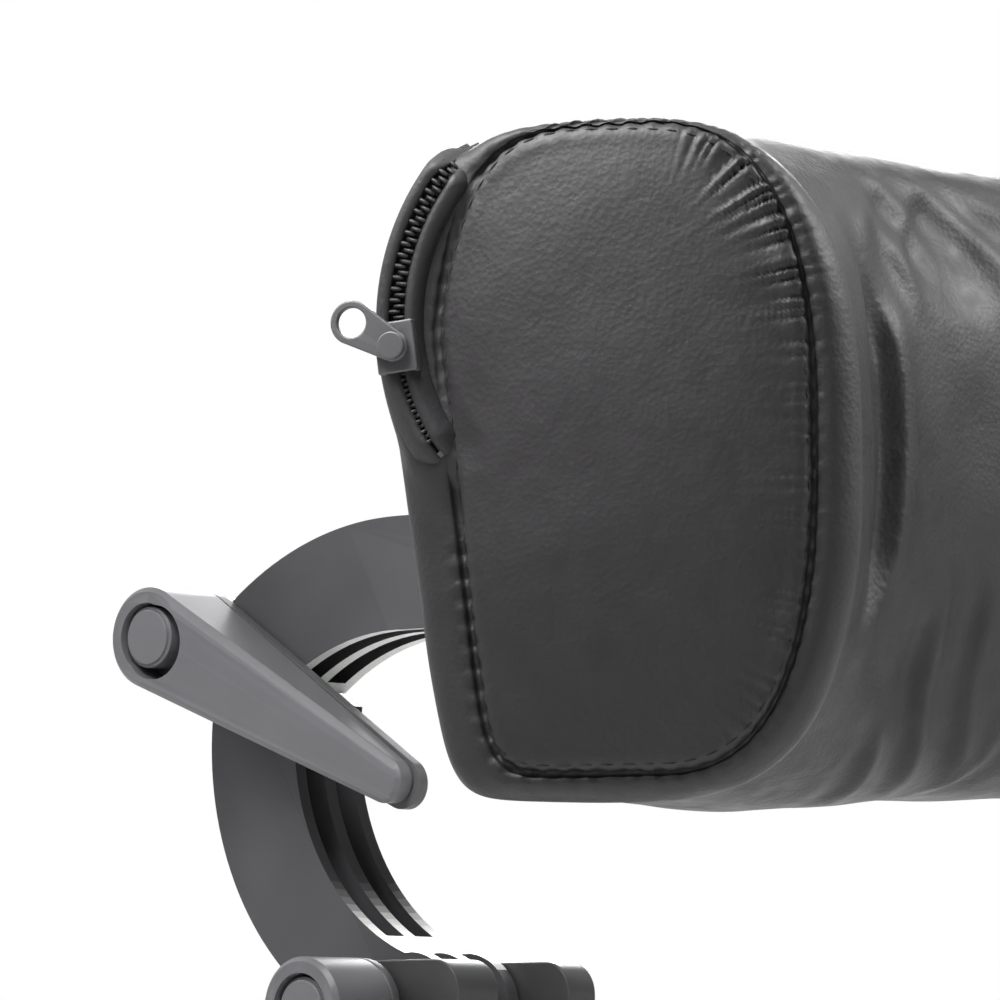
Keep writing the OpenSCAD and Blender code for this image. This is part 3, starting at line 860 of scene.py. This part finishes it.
# How far they run past its upper end
LIP_HEAD = 2
LIP_WIDTH = 0.0050
# How deep the upper and lower ends dip into the seam
SINK_UPPER, SINK_LOWER = 0.0125, 0.0065
# Degrees over which they come back up to level
RISE_UPPER, RISE_LOWER = 15, 13
# Half the opening between the lips: at the tips, and what is added above and below the slider
GAP_TIP, GAP_OPEN, GAP_SHUT = 0.0002, 0.0015, 0.0003


def sink(a):
    """How far the zip's ends dip into the seam."""
    level = smooth01((a - ZIP_A0 + LIP_RUN) / RISE_UPPER) * smooth01((ZIP_A1 + LIP_RUN - a) / RISE_LOWER)
    return (SINK_UPPER if a < ZIP_REST else SINK_LOWER) * (1 - float(level))


def lip_gap(a):
    """Half the opening between the leather lips: wide above the slider, nearly shut below it."""
    t = float(smooth01((a - ZIP_REST + 6) / 12))
    ends = min(1, max(0, (a - ZIP_A0) / 10)) * min(1, max(0, (ZIP_A1 - a) / 8))
    return GAP_TIP + (GAP_OPEN * (1 - t) + GAP_SHUT * t) * ends


def lip_profile(side):
    """A rounded leather edge on one side of the zip's line, as a profile at each angle."""
    def profile(a):
        g = lip_gap(a)
        end = smooth01((a - ZIP_A0 + LIP_HEAD) / LIP_RUN) * smooth01((ZIP_A1 + LIP_RUN - a) / LIP_RUN)
        drop = sink(a)
        width = g + (LIP_WIDTH - g) * (0.25 + 0.75 * float(end))
        pts = [(g, 0.0099), (g - 0.0002, 0.0104), (g + 0.0003, 0.0110), (g + 0.0012, 0.0112),
               (g + 0.0022, 0.0107), (width - 0.0004, 0.0092), (width, 0.0080), (width - 0.0004, 0.0066),
               (g + 0.0020, 0.0094), (g + 0.0012, 0.0098)]
        return [(ZIP_R + side * r, o - drop) for r, o in pts]
    return profile


def sunk(pts):
    """A fixed profile round the zip's line that dips at its ends."""
    return lambda a: [(ZIP_R + r, o - sink(a)) for r, o in pts]


# Profiles as (distance from the zip's line, out from the end's plane)
TAPE_PROFILE = [(-0.0036, 0.0087), (0.0036, 0.0087), (0.0036, 0.0093), (0.0006, 0.0095), (0, 0.0092),
                (-0.0006, 0.0095), (-0.0036, 0.0093)]
STOP_PROFILE = [(-0.0017, 0.0096), (0.0017, 0.0096), (0.0017, 0.0105), (0.0009, 0.0108), (-0.0009, 0.0108),
                (-0.0017, 0.0105)]


def zip_strips():
    """The zip's leather lips, woven tape and end stops."""
    span = steps(ZIP_A0 - LIP_HEAD, ZIP_A1 + LIP_RUN, 120)
    for name, side in (("zip_lip_outer", 1), ("zip_lip_inner", -1)):
        sweep(name, lip_profile(side), span, MAT["leather"])
    tape = sweep("zip_tape_woven", sunk(TAPE_PROFILE), steps(ZIP_A0, ZIP_A1, 90), MAT["tape"])
    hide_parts("zipper_tape")
    for k, a in enumerate((ZIP_A0 + 1, ZIP_A1 - 3)):
        stop = sweep("zip_stop_" + "ab"[k], sunk(STOP_PROFILE), steps(a, a + 2, 6),
                     MAT["zip_metal"])
        if k == 0:
            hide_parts("zipper_stops")


TOOTH_PITCH = 0.0011
TOOTH_OUT = 0.01015
TOOTH_HALF_HEIGHT = 0.0007
# Bare tape left at each end of the row, in degrees
TOOTH_MARGIN = 3.5
# Rings of a tooth: distance from the zip's line, and share of its full size
TOOTH_RINGS = ((-0.0006, 0.75), (0.0004, 1.0), (0.0014, 1.0), (0.0017, 0.6))


def zip_teeth():
    """Rounded teeth that stand by turns on the two sides of the zip's line, one mesh."""
    verts, faces = [], []
    pitch = math.degrees(TOOTH_PITCH / ZIP_R)
    count = int((ZIP_A1 - ZIP_A0 - 2 * TOOTH_MARGIN) / pitch)
    for i in range(count):
        a = ZIP_A0 + TOOTH_MARGIN + i * pitch
        side = 1 if i % 2 else -1
        base = len(verts)
        for turn in steps(0, 5, 5):
            angle = math.radians(60 * turn)
            for r, grow in TOOTH_RINGS:
                half = pitch * 0.42 * grow
                verts.append(zip_point(ZIP_R + side * r, a + half * math.cos(angle),
                                       TOOTH_OUT - sink(a) + TOOTH_HALF_HEIGHT * grow * math.sin(angle)))
        for j in range(6):
            for k in range(3):
                b = (j + 1) % 6
                faces.append((base + 4 * j + k, base + 4 * b + k, base + 4 * b + k + 1, base + 4 * j + k + 1))
        faces.append(tuple(base + 4 * j for j in range(6)))
        faces.append(tuple(base + 4 * j + 3 for j in reversed(range(6))))
    teeth = mesh_object("zip_coil_teeth", verts, faces, MAT["teeth"])
    tidy_normals(teeth)
    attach(teeth, "headrest")
    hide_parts("zipper_teeth")


# ---------------------------------------------------------------- stitches
# Distance from the seam, length and radius of each thread, and how many parts and sides its mesh has
STITCH_INSET = 0.0017
STITCH_LENGTH = 0.0026
THREAD_R = 0.00022
THREAD_PARTS = THREAD_SIDES = 6
# How far out the leather is looked for
CAST_FROM = 0.02


def thread_path(surface, line, ks, sign):
    """Places on the leather, and its normals there, beside the given points of a seam."""
    normal = end_normal(sign)
    centre = on_outline(sign, 0, 0, 0)
    mids, ups = [], []
    for k in ks:
        inward = centre - Vector(line[k])
        inward -= normal * inward.dot(normal)
        p = Vector(line[k]) + inward.normalized() * STITCH_INSET
        hit, at, up, _ = surface.ray_cast(p + normal * CAST_FROM, -normal)
        if not hit:
            break
        mids.append(at)
        ups.append(up)
    return mids, ups


def stitches(name, surface, line, sign):
    """Short sewn threads that follow the leather beside a seam, one mesh."""
    run = np.concatenate([[0], np.cumsum(np.linalg.norm(np.diff(line, axis=0), axis=1))])
    parts, sides = THREAD_PARTS, THREAD_SIDES
    verts, faces = [], []
    for c in np.arange(STITCH_PITCH / 2, run[-1], STITCH_PITCH):
        ks = [int(np.searchsorted(run, c + STITCH_LENGTH * (t - 0.5)).clip(0, len(line) - 1))
              for t in steps(0, 1, parts)]
        mids, ups = thread_path(surface, line, ks, sign)
        if len(mids) <= parts:
            continue
        base = len(verts)
        for j, (p, up) in enumerate(zip(mids, ups)):
            ahead = (mids[min(j + 1, parts)] - mids[max(j - 1, 0)]).normalized()
            side = ahead.cross(up).normalized()
            swell = math.sin(math.pi * (0.12 + 0.76 * (j / parts)))
            lift = (0.35 * swell - 0.25) * 2 * THREAD_R
            for q in range(sides):
                a = 2 * math.pi * q / sides
                verts.append(p + up * (lift + THREAD_R * swell * math.sin(a))
                             + side * THREAD_R * swell * math.cos(a))
        for j in range(parts):
            ring = base + sides * j
            for q in range(sides):
                b = (q + 1) % sides
                faces.append((ring + q, ring + b, ring + sides + b, ring + sides + q))
        faces.append(tuple(base + q for q in reversed(range(sides))))
        faces.append(tuple(base + parts * sides + q for q in range(sides)))
    o = mesh_object(name, verts, faces, MAT["thread"])
    tidy_normals(o)
    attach(o, "headrest")


# ---------------------------------------------------------------- cushion
# The board holds the back from behind: how near to the back face, and how far to each side
BOARD_NEAR = 0.004
BOARD_HALF_WIDTH = 0.05


def make_cushion():
    """The stuffed leather cover as one mesh, and where its points lie at each end seam."""
    verts, faces, seam_ids = cushion_mesh()
    cushion = mesh_object("cushion_leather", verts, faces, MAT["leather"])
    tidy_normals(cushion)
    start = points_of(cushion.data)
    rest_layer = cushion.data.attributes.new("rest", "FLOAT_VECTOR", "POINT")
    rest_layer.data.foreach_set("vector", start.ravel())
    radial = np.hypot(start[:, 0], start[:, 1] - PAD_CY)
    on_board = (BACK_R - radial < BOARD_NEAR) & (np.abs(start[:, 0]) < BOARD_HALF_WIDTH)
    inflate(cushion, seam_ids, np.nonzero(on_board)[0])
    mod = cushion.modifiers.new("smooth", "SUBSURF")
    mod.levels = mod.render_levels = 2
    bake_modifiers(cushion)
    mesh = cushion.data
    rest = np.empty(len(mesh.vertices) * 3)
    mesh.attributes["rest"].data.foreach_get("vector", rest)
    rest = rest.reshape(-1, 3)
    height = front_relief(rest)
    seams = {sign: EndSeam(sign, rest) for sign in (-1, 1)}
    for seam in seams.values():
        height[seam.near] += seam_height(seam)
    set_points(mesh, zip_bed(rest, points_of(mesh) + normals_of(mesh) * height[:, None]))
    mesh.attributes.remove(mesh.attributes["rest"])
    mesh.polygons.foreach_set("use_smooth", [True] * len(mesh.polygons))
    mesh.update()
    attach(cushion, "headrest")
    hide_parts("cover_front", "cover_back", "cover_end_left", "cover_end_right", "foam_core")
    return cushion, seams


cushion, seams = make_cushion()
zip_strips()
zip_teeth()
for sign, side in ((-1, "left"), (1, "right")):
    stitches("stitches_" + side, cushion, seams[sign].line, sign)

# ---------------------------------------------------------------- stage
FLOOR_DROP = 0.004
FLOOR_HALF = 6
# Seen directly, the floor fades into the white surround between these distances from its middle
FADE_FROM, FADE_TO = 0.35, 0.9


def lay_floor():
    """A pale floor just below the object. It bounces light from everywhere."""
    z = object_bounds()[0].z - FLOOR_DROP
    m, t, sh = new_material("pale_floor")
    sh.inputs["Base Color"].default_value = (0.62, 0.62, 0.62, 1)
    noise = add(t, "ShaderNodeTexNoise", Scale=6.0)
    rough = ramp(t, noise.outputs["Fac"], [(0.3, grey(0.55)), (0.7, grey(0.65))])
    t.links.new(rough.outputs["Color"], sh.inputs["Roughness"])
    where = add(t, "ShaderNodeTexCoord")
    away = add(t, "ShaderNodeVectorMath", operation="LENGTH")
    t.links.new(where.outputs["Object"], away.inputs[0])
    fade = {"From Min": FADE_FROM, "From Max": FADE_TO, "To Min": 1.0, "To Max": 0.0}
    near = add(t, "ShaderNodeMapRange", **fade)
    t.links.new(away.outputs["Value"], near.inputs["Value"])
    path = add(t, "ShaderNodeLightPath")
    indirect = add(t, "ShaderNodeMath", operation="SUBTRACT")
    indirect.inputs[0].default_value = 1.0
    t.links.new(path.outputs["Is Camera Ray"], indirect.inputs[1])
    opaque = add(t, "ShaderNodeMath", operation="MAXIMUM")
    t.links.new(near.outputs["Result"], opaque.inputs[0])
    t.links.new(indirect.outputs["Value"], opaque.inputs[1])
    t.links.new(opaque.outputs["Value"], sh.inputs["Alpha"])
    h = FLOOR_HALF
    me = bpy.data.meshes.new("floor")
    me.from_pydata([(-h, -h, z), (h, -h, z), (h, h, z), (-h, h, z)], [], [(0, 1, 2, 3)])
    me.materials.append(m)
    floor = bpy.data.objects.new("floor", me)
    scene.collection.objects.link(floor)


def light_world():
    """Soft studio: a pale backdrop behind, a weaker sky above, little from the front and below."""
    world = bpy.data.worlds.new("studio")
    scene.world = world
    world.use_nodes = True
    t = world.node_tree
    glow = t.nodes["Background"]
    where = t.nodes.new("ShaderNodeTexCoord")
    facing = add(t, "ShaderNodeVectorMath", operation="DOT_PRODUCT")
    facing.inputs[1].default_value = (0.74, 0.66, 0.12)
    t.links.new(where.outputs["Generated"], facing.inputs[0])
    behind = ramp(t, facing.outputs["Value"], [(0.0, grey(0.04)), (0.8, grey(1.0))])
    skyward = add(t, "ShaderNodeVectorMath", operation="DOT_PRODUCT")
    skyward.inputs[1].default_value = (0, 0, 1)
    t.links.new(where.outputs["Generated"], skyward.inputs[0])
    above = ramp(t, skyward.outputs["Value"], [(0.2, grey(0.0)), (1.0, grey(0.25))])
    both = add(t, "ShaderNodeMixRGB", blend_type="ADD")
    both.inputs["Fac"].default_value = 1.0
    t.links.new(behind.outputs["Color"], both.inputs["Color1"])
    t.links.new(above.outputs["Color"], both.inputs["Color2"])
    t.links.new(both.outputs["Color"], glow.inputs["Color"])
    glow.inputs["Strength"].default_value = 0.8
    backdrop = add(t, "ShaderNodeBackground", Color=(1, 1, 1, 1), Strength=1.0)
    path = t.nodes.new("ShaderNodeLightPath")
    choose = t.nodes.new("ShaderNodeMixShader")
    t.links.new(path.outputs["Is Camera Ray"], choose.inputs["Fac"])
    t.links.new(glow.outputs["Background"], choose.inputs[1])
    t.links.new(backdrop.outputs["Background"], choose.inputs[2])
    t.links.new(choose.outputs["Shader"], t.nodes["World Output"].inputs["Surface"])


def area_light(name, at, to, size, power):
    data = bpy.data.lights.new(name, "AREA")
    data.energy = power
    data.size = size
    o = bpy.data.objects.new(name, data)
    o.location = at
    o.rotation_euler = (Vector(to) - Vector(at)).to_track_quat("-Z", "Y").to_euler()
    scene.collection.objects.link(o)


lay_floor()
light_world()
scene.view_settings.view_transform = "Standard"
area_light("key", (-0.235, -0.085, 0.34), (-0.16, -0.10, 0.16), 0.14, 1.05)
area_light("lever_key", (-0.55, 0.1, 0.5), (0, 0.09, 0.1), 0.2, 0.65)
area_light("front", (0.8, -1.0, 1.1), (0.0, -0.08, 0.14), 0.8, 27.0)
area_light("floor_wash", (1.6, 1.4, 0.9), (1.4, 1.2, 0.0), 1.0, 60.0)
area_light("rim", (-0.6, 0.9, 0.9), (0, 0.05, 0.12), 0.4, 4.5)
